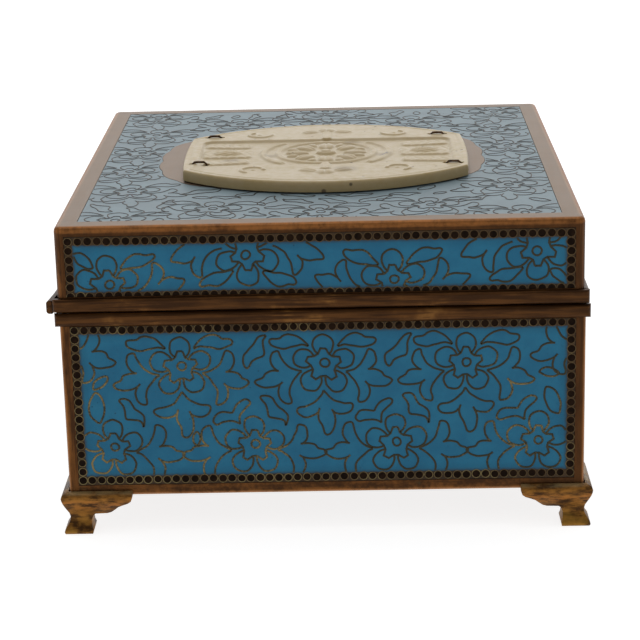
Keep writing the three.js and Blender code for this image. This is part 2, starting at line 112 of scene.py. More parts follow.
class JadeSettings(bpy.types.PropertyGroup):
    pale: tint("Pale jade", "Polished high places of the plaque", 171, 152, 114)
    ochre: tint("Ochre skin", "Stained places of the plaque", 146, 126, 82)
    columns: IntProperty(name="Columns", description="Facets across the plaque", default=250)
    rows: IntProperty(name="Rows", description="Facets from front to back", default=236)


class StageSettings(bpy.types.PropertyGroup):
    lens: FloatProperty(
        name="Lens", description="Focal length on a 36 mm sensor", default=118.5, unit="CAMERA")
    floor_size: length("Floor", "Side of the square floor", 9000)


class BoxSettings(bpy.types.PropertyGroup):
    cloisons: PointerProperty(type=CloisonSettings)
    enamel: PointerProperty(type=EnamelSettings)
    metal: PointerProperty(type=MetalSettings)
    jade: PointerProperty(type=JadeSettings)
    stage: PointerProperty(type=StageSettings)


# ---- Materials

def doing(operation):
    """A method that adds a Math node."""
    return lambda value, *others: value.finish.math(operation, value, *others)


class Value:
    """A socket of a finish: Python's operators on it add Math nodes."""

    def __init__(self, finish, socket):
        self.finish = finish
        self.socket = socket

    __add__ = __radd__ = doing("ADD")
    __sub__ = doing("SUBTRACT")
    __mul__ = doing("MULTIPLY")
    __abs__ = doing("ABSOLUTE")
    at_least = doing("MAXIMUM")
    at_most = doing("MINIMUM")

    def __rsub__(self, other):
        return self.finish.math("SUBTRACT", other, self)

    def ramp(self, start, end):
        """0 at start, 1 at end, smoothly, whichever of the two is larger."""
        return self.finish.node(
            "ShaderNodeMapRange", {"interpolation_type": "SMOOTHSTEP"},
            {"Value": self, "From Min": start, "From Max": end})


class Finish:
    """A material; x, y, z and place give where a point is, in millimetres."""

    def __init__(self, name, **constants):
        self.material = bpy.data.materials.new(name)
        self.material.use_nodes = True
        self.tree = self.material.node_tree
        self.shader = self.tree.nodes["Principled BSDF"]
        self.base = None
        for socket, value in constants.items():
            self.shader.inputs[socket.replace("_", " ")].default_value = value
        metres = self.node("ShaderNodeTexCoord", output="Object")
        self.place = self.vector("SCALE", {"Vector": metres, "Scale": 1 / MM})
        self.x, self.y, self.z = (
            self.node("ShaderNodeSeparateXYZ", sockets={0: self.place}, output=axis)
            for axis in "XYZ")

    def node(self, kind, settings=None, sockets=None, output=0):
        """Adds a node, with its settings and the values or links of its sockets."""
        node = self.tree.nodes.new(kind)
        for setting, value in (settings or {}).items():
            setattr(node, setting, value)
        for socket, value in (sockets or {}).items():
            if isinstance(value, Value):
                self.tree.links.new(value.socket, node.inputs[socket])
            else:
                node.inputs[socket].default_value = value
        return Value(self, node.outputs[output])

    def math(self, operation, *values):
        return self.node("ShaderNodeMath", {"operation": operation}, dict(enumerate(values)))

    def vector(self, operation, sockets, output=0):
        return self.node("ShaderNodeVectorMath", {"operation": operation}, sockets, output)

    def noise(self, grain, detail=2.0, stretch=(1, 1, 1), roughness=0.5):
        """Noise from 0 to 1, with lumps about `grain` millimetres long."""
        place = self.vector("DIVIDE", {0: self.place, 1: stretch})
        return self.node("ShaderNodeTexNoise", sockets={
            "Vector": place, "Scale": 1 / grain, "Detail": detail, "Roughness": roughness})

    def spots(self, grain, seed=0.0):
        """Distance from the nearest of many scattered points, in units of `grain`."""
        place = self.vector("ADD", {0: self.place, 1: (seed, seed, seed)})
        return self.node("ShaderNodeTexVoronoi", sockets={"Vector": place, "Scale": 1 / grain})

    def slant(self):
        """0 where a face is seen square on, 1 where it is seen at a slant."""
        facing = self.node("ShaderNodeLayerWeight", sockets={"Blend": 0.5}, output="Facing")
        return facing.ramp(0.3, 0.62)

    def distance(self, place):
        """How far a point is from a place, in millimetres."""
        return self.vector("DISTANCE", {0: self.place, 1: place}, "Value")

    def mix(self, share, first, second):
        """Blends two colours, each a value or four numbers."""
        def whole(colour):
            return colour if isinstance(colour, Value) else (*colour[:3], 1.0)
        return self.node(
            "ShaderNodeMix", {"data_type": "RGBA"},
            {0: share, 6: whole(first), 7: whole(second)}, output=2)

    def paint(self, share, colour):
        """Lays a colour over the base colour."""
        self.base = self.mix(share, self.base, colour)

    def feed(self, bump=None, depth=0.0, **inputs):
        """Links the base colour and what varies; a unit of bump is `depth` millimetres high."""
        if bump is not None:
            inputs["Normal"] = self.node(
                "ShaderNodeBump", sockets={"Height": bump, "Distance": depth * MM, "Strength": 1.0},
                output="Normal")
        for socket, value in {"Base_Color": self.base, **inputs}.items():
            self.tree.links.new(value.socket, self.shader.inputs[socket.replace("_", " ")])
        return self.material


def shade(colour, share):
    """The same colour darker, or lighter where share is above 1."""
    return tuple(channel * share for channel in colour[:3])


# Specular level of worn metal, and of the side fields' glaze
DULL = 0.15
GLASS_IOR = 1.5


def enamel_finish(name, settings, field=None):
    """Fired turquoise glaze, with a painted sheen where the top is seen at a slant; a side field has a dark
    ground under its border rings.
    """
    finish = Finish(name, IOR=GLASS_IOR, Specular_IOR_Level=DULL if field else 0.5)
    ground, border = settings.turquoise, settings.border
    clouds = finish.noise(9, detail=4, roughness=0.6)
    grain = finish.noise(1.1, detail=3)
    cloudy = clouds.ramp(0.36, 0.66)
    finish.base = finish.mix(cloudy, shade(ground, 0.94), settings.pale)
    if not field:
        # Painted sheen: the top glaze turns grey where it is seen at a slant, as light reflected at a
        # grazing angle would make it
        glaze_sheen = finish.mix(cloudy, settings.top_sheen, shade(settings.top_sheen, 1.2))
        finish.paint(finish.slant(), glaze_sheen)
    finish.paint(grain.ramp(0.62, 0.8) * 0.35, shade(ground, 0.66))
    pits = finish.spots(2.6).ramp(0.085, 0.045) * finish.noise(14).ramp(0.46, 0.6)
    finish.paint(pits * 0.8, shade(ground, 0.3))
    roughness = clouds * 0.12 + grain * 0.08 + pits * 0.3 + (0.07 if field else 0.5)
    if field:
        along = finish.x if field.side in ("front", "back") else finish.y
        inwards = field.reach - abs(along - field.centre)
        edge = inwards.at_most(finish.z - field.open_low).at_most(field.open_high - finish.z)
        edge = edge + (finish.noise(0.8) - 0.5) * 0.35
        finish.paint(edge.ramp(2.4, 0.4) * 0.25, shade(ground, 0.5))
        finish.paint(edge.ramp(0.7, -0.3) * 0.6, border)
        margin = edge.ramp(-0.1, -0.3)
        dirty = finish.mix(finish.noise(1.7).ramp(0.4, 0.7), border, shade(border, 1.9))
        finish.paint(margin, dirty)
        roughness = roughness + margin * 0.3
    return finish.feed(Roughness=roughness, bump=clouds * 1.4 + grain * 0.12 - pits, depth=0.035)


def rubbed_clean(finish, wear, patch, speck, sway):
    """Patches and specks of wear, more of them where `wear` is higher."""
    patches = finish.noise(patch, detail=3, roughness=0.65)
    return patches + wear + (finish.noise(speck, detail=2) - 0.5) * sway


def wire_finish(name, settings):
    """Cloison wire: tarnished dark, rubbed to brass low down and towards the corners."""
    finish = Finish(name, Specular_IOR_Level=DULL)
    wear = abs(finish.x) * 0.0016 - finish.x * 0.001 - finish.z * 0.0024
    clean = rubbed_clean(finish, wear, 16, 0.5, 0.45).ramp(0.46, 0.72)
    finish.base = finish.mix(clean, settings.tarnish, settings.brass)
    return finish.feed(Metallic=clean * 0.3 + 0.15, Roughness=0.55 - clean * 0.12)


def top_wire_finish(name):
    """Cloison wire of the lid's top, polished flush with the glaze by handling."""
    finish = Finish(name, IOR=GLASS_IOR, Specular_IOR_Level=0.3)
    tone = finish.noise(2.4, detail=3)
    finish.base = finish.mix(tone.ramp(0.3, 0.7), linear(26, 24, 20), linear(58, 54, 46))
    return finish.feed(Metallic=tone * 0.2, Roughness=tone * 0.2 + 0.4)


def ring_finish(name, settings):
    """Wire of the border rings: brown, and golden along the foot and the left edge."""
    finish = Finish(name, Specular_IOR_Level=DULL)
    wear = finish.x * -0.0009 - finish.z * 0.0036
    clean = rubbed_clean(finish, wear, 9, 0.9, 0.4).ramp(0.3, 0.62)
    finish.base = finish.mix(clean, linear(76, 59, 36), shade(settings.brass, 0.8))
    return finish.feed(Metallic=clean * 0.3 + 0.2, Roughness=0.55 - clean * 0.1)


def dot_finish(name, settings):
    """The dark enamel in the rings."""
    finish = Finish(name, Specular_IOR_Level=0.03)
    tone = finish.noise(1.9, detail=3)
    finish.base = finish.mix(tone.ramp(0.35, 0.7), shade(settings.dot, 0.55), shade(settings.dot, 1.3))
    return finish.feed(Roughness=tone * 0.3 + 0.3)


def streaks(finish, lengthways, grain=1.1, ratio=14):
    """Fine lines that run along x, y or z."""
    stretch = [ratio if axis == lengthways else 1 for axis in "xyz"]
    return finish.noise(grain, detail=4, stretch=stretch, roughness=0.62)


# Width of the bare corner posts, millimetres
POST = 2.5


def copper_finish(name, settings, enamel, outside, inside, top):
    """Walls of one shell: streaked along every rail, rubbed on arrises, glazed inside; painted shade and
    highlights.
    """
    finish = Finish(name, IOR=GLASS_IOR, Specular_IOR_Level=DULL)
    low, high = outside
    from_sides = (high.x - low.x) / 2 - abs(finish.x - (low.x + high.x) / 2)
    from_ends = high.y - abs(finish.y)
    closest, other = from_sides.at_most(from_ends), from_sides.at_least(from_ends)
    rim = closest.at_least((top - finish.z) if top else (finish.z - low.z))
    arris = other.at_most(rim)

    on_post = other.ramp(POST, POST - 0.2)
    level = streaks(finish, "x") * 0.5 + streaks(finish, "y") * 0.5
    grain = streaks(finish, "z") * on_post + level * (1 - on_post)
    clouds = finish.noise(7, detail=4, roughness=0.6)
    tone = grain * 0.72 + clouds * 0.28
    finish.base = finish.mix(tone.ramp(0.4, 0.62), settings.patina, settings.copper)

    # Painted shade: the walls darken away from their arrises, most on the lid, and the right end darkens
    # all but its arrises
    painted_shade = arris.ramp(1.2, 2.0) * 0.75 if top else arris.ramp(0.6, 1.5) * 0.25
    right_end_shade = finish.x.ramp(35, 60) * 0.75 * arris.ramp(0.1, 0.6)
    finish.paint(painted_shade.at_least(right_end_shade), shade(settings.patina, 1.15))
    # Rubbed copper on the arrises, and on the lid a painted highlight along the upper rim of the walls
    rubbed_edge_and_rim_highlight = arris.ramp(0.9, 0.15)
    if top:
        rubbed_edge_and_rim_highlight = rubbed_edge_and_rim_highlight.at_least(rim.ramp(1.8, 1.0))
    rubbed_and_highlit = rubbed_edge_and_rim_highlight * tone.ramp(0.25, 0.6)
    finish.paint(rubbed_and_highlit * 0.8, linear(152, 98, 52))
    # Painted highlight along the very arrises
    finish.paint(arris.ramp(0.5, 0.1) * tone.ramp(0.3, 0.5) * 0.8, linear(172, 132, 98))
    if top:
        # Dust on the top border and the reserve, with a painted sheen that grows where the top is seen at a
        # slant
        dust_and_sheen = (finish.z - (top - 0.6)).ramp(0.0, 0.3) * arris.ramp(0.5, 1.2)
        dust_and_sheen = dust_and_sheen * (finish.slant() * 0.7 + 0.3)
        finish.paint(dust_and_sheen * (0.4 + tone * 0.5), linear(132, 113, 94))
    green = finish.noise(5, detail=4).ramp(0.66, 0.78) * 0.3
    finish.paint(green, linear(70, 74, 52))

    walls = [
        gap for at, start, end in zip((finish.x, finish.y, finish.z), *inside)
        for gap in (at - start, end - at)]
    glazed = reduce(Value.at_most, walls).ramp(-0.06, -0.02)
    counter = finish.mix(clouds.ramp(0.3, 0.7), shade(enamel.turquoise, 0.6), enamel.turquoise)
    finish.paint(glazed, counter)
    return finish.feed(
        Roughness=(grain * 0.25 + 0.36) * (1 - glazed) + glazed * 0.3,
        Metallic=(0.45 + rubbed_and_highlit * 0.2) * (1 - glazed),
        bump=grain * 0.7 + clouds * 0.6, depth=0.03)


def strip_finish(name, settings, lengthways):
    """A rounded strip, streaked along its length with golden rubbed patches."""
    finish = Finish(name, Specular_IOR_Level=DULL)
    grain = streaks(finish, lengthways, grain=0.8, ratio=20)
    patches = finish.noise(11, detail=4, roughness=0.6)
    tone = grain * 0.75 + patches * 0.25
    finish.base = finish.mix(tone.ramp(0.4, 0.62), shade(settings.patina, 0.8), settings.strip)
    golden = patches.ramp(0.55, 0.7) * grain.ramp(0.42, 0.58)
    finish.paint(golden * 0.6, linear(132, 92, 48))
    return finish.feed(
        Metallic=golden * 0.2 + 0.5, Roughness=grain * 0.25 + 0.32,
        bump=grain + patches, depth=0.04)


def casting_finish(name, settings):
    """Cast brass of the feet: golden on the swells and the toes, brown and grimy in patches, with a painted
    highlight on the top ledge.
    """
    finish = Finish(name, Specular_IOR_Level=DULL)
    grain = finish.noise(1.2, detail=5, stretch=(4, 4, 1), roughness=0.65)
    patches = finish.noise(4.5, detail=4, roughness=0.6)
    tone = grain * 0.6 + patches * 0.4
    finish.base = finish.mix(tone.ramp(0.4, 0.6), settings.grime, settings.casting)
    toe = finish.z.ramp(5.5, 1.0)
    finish.paint(toe * patches.ramp(0.4, 0.6) * 0.6, linear(150, 112, 44))
    swell = finish.z.ramp(5.6, 7.2) * finish.z.ramp(9.6, 8.2)
    finish.paint(swell * grain.ramp(0.4, 0.6) * 0.6, linear(164, 104, 46))
    # Painted highlight: the ledge at the top faces up and is made lighter
    ledge_highlight = finish.z.ramp(10.1, 10.9)
    finish.paint(ledge_highlight * patches.ramp(0.35, 0.6) * 0.7, linear(132, 116, 82))
    return finish.feed(
        Metallic=0.6 - ledge_highlight * 0.3, Roughness=grain * 0.3 + 0.3, bump=grain + patches, depth=0.12)


def tie_finish(name):
    """The dark wire that holds the plaque."""
    finish = Finish(name, Specular_IOR_Level=0.2)
    tone = finish.noise(0.8, detail=3)
    finish.base = finish.mix(tone.ramp(0.3, 0.7), linear(50, 35, 22), linear(96, 70, 46))
    return finish.feed(Metallic=tone * 0.4 + 0.4, Roughness=0.5 - tone * 0.1)


# Stains and painted shade of the plaque as (x, y, radius), dark chips as (x, y, depth, radius), millimetres
# Those at (16.2, -9.0), (-13.9, -8.8) and (-24.0, -14.0) are painted shade of the deep cuts; the rest are
# stains
STAINS_AND_SHADE = (
    (6.1, -27.8, 4.2), (16.2, -9.0, 3.0), (-13.9, -8.8, 2.8), (28.3, -3.8, 2.0),
    (-24.0, -14.0, 3.6), (8.0, 6.0, 3.4))
CHIPS = (
    (7.4, -41.3, 1.0, 0.45), (14.9, -40.9, 0.6, 0.45), (15.2, -40.8, 1.9, 0.35),
    (0.6, -41.9, 2.6, 0.6), (16.4, -8.8, 0.0, 0.9), (28.4, -3.6, 0.0, 0.6))


def jade_finish(name, settings, height):
    """Waxy pale stone with ochre stains, painted shade beside the deep cuts, brown pits and darker cut
    grounds.
    """
    finish = Finish(
        name, Specular_IOR_Level=0.45, Subsurface_Weight=0.2, Subsurface_Scale=0.002,
        Subsurface_Radius=(1.0, 0.75, 0.45))
    clouds = finish.noise(13, detail=4, stretch=(1.6, 1, 1), roughness=0.6)
    flecks = finish.noise(2.2, detail=4, roughness=0.65)
    tone = clouds * 0.6 + flecks * 0.4
    finish.base = finish.mix(tone.ramp(0.38, 0.7), settings.pale, shade(settings.ochre, 1.25))
    finish.paint((height - finish.z).ramp(0.5, 1.3) * 0.45, settings.ochre)
    # Stains, and painted shade beside the deep cuts of the rosette
    for x, y, radius in STAINS_AND_SHADE:
        away = finish.distance((x, y, height)) + flecks * radius * 0.8
        finish.paint(away.ramp(radius * 1.5, radius * 0.5) * 0.85, linear(122, 101, 54))
    for x, y, depth, radius in CHIPS:
        away = finish.distance((x, y, height - depth))
        finish.paint(away.ramp(radius * 1.4, radius * 0.6) * 0.85, linear(66, 50, 32))
    pits = finish.spots(3.4, seed=5.0).ramp(0.14, 0.08) * finish.noise(12).ramp(0.5, 0.62)
    finish.paint(pits * 0.85, linear(74, 58, 38))
    return finish.feed(Roughness=flecks * 0.25 + 0.3, bump=flecks * 0.8 - pits * 2, depth=0.06)


# ---- Fields and motifs

# For each side: the way across it, the way up it and the way out of it
AXES = {
    "front": ((1, 0, 0), (0, 0, 1), (0, -1, 0)),
    "back": ((-1, 0, 0), (0, 0, 1), (0, 1, 0)),
    "left": ((0, -1, 0), (0, 0, 1), (-1, 0, 0)),
    "right": ((0, 1, 0), (0, 0, 1), (1, 0, 0)),
    "top": ((1, 0, 0), (0, 1, 0), (0, 0, 1)),
}

# Widths of the ring borders: the columns at the ends, then the foot and head rows of each part
COLUMN_WIDTH = 2.1
ROW_WIDTHS = {"body": (2.4, 2.05), "lid": (1.25, 2.25)}
# A field that reaches further than this from its middle is a wide one, at the left or the right
WIDE = 65


class Field:
    """An enamel field. Places on it are (u, v) millimetres: u from its middle, v from the origin."""

    def __init__(self, part, side):
        self.part = part
        self.name = f"{part}_{side}"
        self.node = f"{part}_enamel_{side}"
        self.side = side
        low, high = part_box(self.node)
        across, up, out = (Vector(axis) for axis in AXES[side])
        middle = (low + high) / 2
        self.half_length = abs((high - low).dot(across)) / 2 / MM
        self.wide = self.half_length > WIDE
        self.centre = middle.dot(Vector((abs(a) for a in across))) / MM
        self.low, self.high = sorted((low.dot(up) / MM, high.dot(up) / MM))
        face = max(low.dot(out), high.dot(out))
        turn = Matrix((across, up, out)).transposed().to_4x4()
        self.matrix = (
            Matrix.Translation(across * middle.dot(across) + out * face)
            @ turn @ Matrix.Diagonal((MM, MM, MM, 1)))
        foot_width, head_width = ROW_WIDTHS[part]
        self.reach = self.half_length - COLUMN_WIDTH
        self.open_low, self.open_high = self.low + foot_width, self.high - head_width

    def clear(self, u, v):
        """Whether the wires of the pattern reach this place."""
        return abs(u) < self.reach and self.open_low < v < self.open_high


class TopField(Field):
    """The top field, with the bare reserve under the plaque left free."""

    RESERVE = (43.9, 37.6, 2.7)

    def clear(self, u, v):
        width, depth, power = self.RESERVE
        from_middle = abs(u / width) ** power + abs(v / depth) ** power
        return abs(u) < self.half_length - 0.1 and abs(v) < self.high - 0.1 and from_middle > 1


# A motif is one line or more, in tenths of a millimetre from its flower's eye or its own middle
LEAF = (
    ((35, 48), (46, 62), (62, 76), (82, 82), (96, 78), (105, 71.5), (124, 69), (129, 62), (122, 52),
     (98, 44.5), (76, 49), (52, 52.5), (35, 48)),)
SPRAY = (
    ((53, -18), (72, -13), (88, -3), (98, 10), (105, 25), (110, 37), (117, 38), (126, 32), (130, 18),
     (128, 4), (120, -8), (111, -15)),
    ((109, -14), (127, -14), (141, -19.5), (148, -30), (161, -36), (166, -43), (158, -51), (141, -56),
     (121, -54), (109, -49), (102, -42)),
    ((109, -50), (113, -66), (109, -82), (99, -93), (85, -95), (82.5, -87), (86, -72), (84, -56), (75, -40),
     (63, -26), (53, -19)))
LID_LEAF = (
    ((34, 42), (46, 61), (66, 77), (82, 79), (96, 76), (112, 78), (117, 71), (107, 59), (86, 48), (61, 44),
     (34, 42)),)
LID_SPRAY = (
    ((62, -19), (76, -14), (89, -5), (102, 14), (108, 36), (109, 52), (116, 55), (126, 48), (133, 36),
     (134, 22), (129, 12)),
    ((122, 2), (132, 13), (151, 19), (168, 16), (183, 15), (184, 6), (173, -8), (162, -19), (142, -30)))
TASSEL = (
    ((-1, -64), (-9, -79), (-24, -94), (-44, -103), (-63, -107), (-69, -114), (-64, -123), (-51, -130),
     (-36, -130), (-23, -125), (-17, -119)),
    ((-12, -109), (-16, -123), (-15, -138), (-7, -152), (-4, -163), (-2, -174), (5, -179), (15, -175),
     (22, -162), (25, -146), (24, -130), (17, -114)),
    ((-1, -64), (10, -79), (27, -91), (47, -97), (64, -98), (69, -105), (63, -118), (50, -126), (34, -126),
     (22, -121), (16, -113)))
RIBBON = (
    ((31, 40), (17, 38), (7, 29), (-2, 15), (-17, -1), (-27, -12), (-29, -27), (-25, -38), (-19, -42),
     (-14, -36), (-8, -26), (4, -19), (20, -13), (24, -4), (23, 14), (25, 28), (31, 40)),)
BOOMERANG = (
    ((0, 5), (5, 15), (15, 28), (30, 37), (42, 35), (45, 27), (32, 14), (20, 1), (16, -12), (16, -26)),
    ((16, -26), (7, -21), (-8, -17), (-25, -20), (-40, -24), (-48, -17), (-46, -7), (-37, 4), (-22, 7),
     (0, 5)))
COMMA = (
    ((25, -39), (28, -22), (26, -10), (17, 0), (6, 8), (0, 18), (-7, 30), (-17, 36), (-29, 37), (-34, 33),
     (-30, 26), (-24, 17), (-20, 5), (-19, -10), (-15, -17), (-2, -19), (13, -22), (22, -29), (25, -39)),)
ALMOND = (
    ((-23, -6), (-15, 7), (0, 12), (15, 10), (24, 4), (16, -6), (0, -11), (-14, -10), (-23, -6)),)
PETAL = (
    ((27, -13.5), (37, -21), (52, -24.5), (68, -19.5), (77, 0), (68, 19.5), (52, 24.5), (37, 21),
     (27, 13.5)),)
CURLS = (COMMA, RIBBON, ALMOND)
PETAL_COUNT = 5
# Corners of the collar for each petal, as (degrees from the petal, radius)
COLLAR = ((-9, 4.15), (9, 4.15), (25, 2.9), (47, 2.9))
EYE_RADIUS = 1.05


def placed(points, at, turn=0.0, scale=1.0, mirror=False):
    """A line turned (degrees), scaled and set down at a place; mirrored first if asked."""
    c, s = math.cos(math.radians(turn)) * scale, math.sin(math.radians(turn)) * scale
    line = []
    for x, y in points:
        x = -x if mirror else x
        line.append((at[0] + c * x - s * y, at[1] + s * x + c * y))
    return line


def arc(radius, count=16):
    turns = [2 * math.pi * i / count for i in range(count + 1)]
    return [(radius * math.cos(t), radius * math.sin(t)) for t in turns]


def motif(lines, at, turn=0.0, scale=1.0, mirror=False):
    """The wires of a motif, each marked soft, because its corners are rounded when it is bent."""
    tenths = [[(x / 10, y / 10) for x, y in line] for line in lines]
    return [("soft", placed(line, at, turn, scale, mirror)) for line in tenths]


def flower(at, turn=0.0):
    """Five round petals, one pointing up, round a collar with a tip in every petal, and an eye."""
    bearings = [90 + 360 / PETAL_COUNT * i for i in range(PETAL_COUNT)]
    lines = []
    for bearing in bearings:
        lines += motif(PETAL, at, turn + bearing)
    collar = []
    for bearing in bearings:
        for aside, radius in COLLAR:
            angle = math.radians(bearing + aside)
            collar.append((radius * math.cos(angle), radius * math.sin(angle)))
    lines.append(("straight", placed([*collar, collar[0]], at, turn)))
    eye = [(x + 0.3, y + 0.4) for x, y in arc(EYE_RADIUS)]
    return [*lines, ("soft", placed(eye, at, turn))]


# From one flower of a row to the next, and where the flowers of a row stand, in those steps
PERIOD = 34.7
EVEN_ROW, ODD_ROW = (-1.5, -0.5, 0.5, 1.5), (-1, 0, 1)


def body_pattern(field):
    """Two staggered rows of flowers; the upper ones carry leaves, sprays and a tassel."""
    upper, lower = (EVEN_ROW, ODD_ROW) if field.wide else (ODD_ROW, EVEN_ROW)
    lines = []
    for step in upper:
        at = (PERIOD * step, 42.5)
        lines += flower(at) + motif(TASSEL, at)
        for mirror in (False, True):
            lines += motif(LEAF, at, mirror=mirror) + motif(SPRAY, at, mirror=mirror)
    for step in lower:
        u = PERIOD * step
        lines += flower((u, 22.0))
        for mirror, sign in ((False, 1), (True, -1)):
            if u * sign < 45:
                lines += motif(SPRAY, (u, 22.0), 8 * sign, 1.03, mirror)
        if field.wide or u > -40:
            lines += motif(BOOMERANG, (u - 5.0, 30.2))
        if field.wide or u < 40:
            lines += motif(COMMA, (u + 5.4, 31.2))
    for step in lower:
        if abs(step) * PERIOD < 40:
            lines += motif(RIBBON, (PERIOD * step + 0.6, 46.2))
    if field.wide:
        edge = field.half_length - 3
        for sign in (-1, 1):
            lines += motif(COMMA, (sign * (edge - 4), 20), 20 * sign, 1.1, sign > 0)
            lines += motif(ALMOND, (sign * (edge - 5), 31), 70, 1.6)
        return lines + fill_gaps(field, lines)
    for at, turn, scale in (
            ((-54.4, 38.9), 35, 1), ((54.8, 39.8), -25, 1), ((-55.6, 32.4), 78, 1.6),
            ((55.4, 32.4), 102, 1.6), ((-31.5, 24.3), 80, 0.75)):
        lines += motif(ALMOND, at, turn, scale)
    return lines + motif(SPRAY, (-67.0, 48.4)) + motif(SPRAY, (67.0, 48.4), mirror=True)


def lid_pattern(field):
    """One row of flowers, by turns standing on the lower border and hanging from the upper."""
    lines = []
    for index, step in enumerate((-2, *ODD_ROW, 2) if field.wide else EVEN_ROW):
        hanging = index % 2 == 1
        nudge = 0.9 if step == -1.5 else 0.0
        at = (PERIOD * step + nudge, 70.6 if hanging else 63.5)
        turn = 180 if hanging else 0
        lines += flower(at, turn)
        for mirror in (False, True):
            outwards = (-1 if mirror else 1) * (-1 if hanging else 1) * step * PERIOD
            if outwards < (60 if field.wide else 45):
                lines += motif(LID_LEAF, at, turn, mirror=mirror)
                lines += motif(LID_SPRAY, at, turn, mirror=mirror)
    if not field.wide:
        lines += motif(ALMOND, (-56.8, 70.0), -48, 1.2) + motif(ALMOND, (57.0, 64.0), -52, 1.1)
    return lines


PATTERNS = {"body": body_pattern, "lid": lid_pattern}
TOP_FLOWERS = (
    (-26.7, -55.5), (26.9, -55.5), (0.0, -60.5), (-49.4, -65.2), (49.4, -65.2),
    (-48.5, -35.5), (47.5, -35.5), (-51.5, -12.5), (51.0, -12.0), (-50.0, 10.5), (50.5, 11.0),
    (-48.0, 34.0), (48.5, 33.5), (-24.5, 47.5), (25.0, 47.0), (0.3, 45.0), (-49.5, 58.0),
    (50.0, 58.5), (0.0, 64.0))


def fill_gaps(field, lines, spacing=3.0, room=3.4):
    """Adds a curl, ribbon or almond wherever the pattern has left a bare patch."""
    taken = [point for _, line in lines for point in evened(line, 1.0)]
    fillers = []
    across = int(field.half_length / spacing)
    for row in range(int((field.high - field.low) / spacing)):
        for column in range(-across, across + 1):
            at = by_hand((column * spacing, field.low + (row + 0.5) * spacing))
            if not all(field.clear(at[0] + u, at[1] + v) for u in (-2, 2) for v in (-2, 2)):
                continue
            gaps = np.array(taken) - at
            gap = np.sqrt((gaps ** 2).sum(axis=1).min())
            if gap > room:
                curl = CURLS[len(fillers) % len(CURLS)]
                fillers += motif(curl, at, 67 * len(fillers), min(gap / 4.6, 1.3))
                taken += fillers[-1][1]
    return fillers


def top_pattern(field):
    """Flowers all round the reserve, with leaves, sprays and curls between them."""
    lines = []
    for index, at in enumerate(TOP_FLOWERS):
        turn = (index * 37) % 11 - 5
        lines += flower(at, turn)
        for mirror, sign in ((False, 1), (True, -1)):
            lines += motif(LEAF, at, turn, mirror=mirror)
            lines += motif(SPRAY, at, turn - 9 * sign, 0.92, mirror)
        lines += motif(TASSEL, at, turn, 0.9)
    ribbons = ((-13, -48), (13.5, -48), (-38, -50), (38, -49.5), (-13, 56), (13, 56))
    for index, (u, v) in enumerate(ribbons):
        lines += motif(RIBBON, (u, v), 20 * (-1) ** index)
    return lines + fill_gaps(field, lines)


# ---- Shaping

def deselect():
    bpy.ops.object.select_all(action="DESELECT")


def select(piece):
    deselect()
    piece.select_set(True)
    bpy.context.view_layer.objects.active = piece


@contextmanager
def editing(piece, action="SELECT"):
    """Edits the mesh of a piece, with everything in it selected or nothing."""
    select(piece)
    bpy.ops.object.mode_set(mode="EDIT")
    bpy.ops.mesh.select_all(action=action)
    yield
    bpy.ops.object.mode_set(mode="OBJECT")


def added(name, data):
    piece = bpy.data.objects.new(name, data)
    bpy.context.collection.objects.link(piece)
    return piece


def finished(piece, name, material=None, replaces=()):
    """Names a piece, gives it its material and lets it ride on the box."""
    piece.name = name
    piece.data.name = name
    if material:
        piece.data.materials.clear()
        piece.data.materials.append(material)
    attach(piece, "root")
    if replaces:
        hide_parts(*replaces)
    return piece


def dress(names, material):
    """Gives CAD nodes a better material."""
    for name in names:
        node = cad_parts[name]
        for slot in node.material_slots:
            slot.material = material


def evened(points, spacing):
    """The same line with points no further apart than `spacing`."""
    line = [points[0]]
    for (x0, y0), (x1, y1) in zip(points, points[1:]):
        count = max(1, math.ceil(math.hypot(x1 - x0, y1 - y0) / spacing))
        line += [(x0 + (x1 - x0) * i / count, y0 + (y1 - y0) * i / count) for i in range(1, count + 1)]
    return line


def softened(points, steps=4):
    """A smooth line through the points, as a wire would take."""
    closed = math.dist(points[0], points[-1]) < 0.01
    before = points[-2] if closed else points[0]
    after = points[1] if closed else points[-1]
    ring = [before, *points, after]
    line = [points[0]]
    for a, b, c, d in zip(ring, ring[1:], ring[2:], ring[3:]):
        for i in range(1, steps + 1):
            t = i / steps
            line.append(tuple(
                0.5 * (2 * q + (r - p) * t + (2 * p - 5 * q + 4 * r - s) * t * t
                       + (3 * q - p - 3 * r + s) * t ** 3)
                for p, q, r, s in zip(a, b, c, d)))
    return line


def drift(point, grain, layer):
    """A shift that changes smoothly from place to place, the same in every run."""
    return [noise.noise(Vector((*point, 0)) * grain + Vector((0, 0, z))) for z in (layer, layer + 40)]


def by_hand(point):
    """Shifts a point a little, as no two wires are bent quite alike."""
    sway, shake = drift(point, 0.11, 3.7), drift(point, 0.5, 8.1)
    return tuple(at + 0.5 * a + 0.18 * b for at, a, b in zip(point, sway, shake))


def cut_to(field, line):
    """The stretches of a line that lie on the open part of a field."""
    def crossing(inner, outer):
        for _ in range(6):
            middle = ((inner[0] + outer[0]) / 2, (inner[1] + outer[1]) / 2)
            inner, outer = (middle, outer) if field.clear(*middle) else (inner, middle)
        return inner
    stretches, current = [], []
    for previous, point in zip([None, *line], line):
        if field.clear(*point):
            if not current and previous:
                current.append(crossing(point, previous))
            current.append(point)
        elif current:
            current.append(crossing(current[-1], point))
            stretches.append(current)
            current = []
    if current:
        stretches.append(current)
    return [stretch for stretch in stretches if len(stretch) > 1]


def flat_curve(name, lines, closed=False):
    curve = bpy.data.curves.new(name, "CURVE")
    curve.dimensions = "2D"
    curve.fill_mode = "NONE"
    for line in lines:
        spline = curve.splines.new("POLY")
        spline.points.add(len(line) - 1)
        for point, (x, y) in zip(spline.points, line):
            point.co = (x, y, 0, 1)
        spline.use_cyclic_u = closed
    return added(name, curve)


# Wires that meet lie at slightly different heights, in millimetres, so their tops never coincide
WIRE_LAYERS = 5
WIRE_STEP = 0.006


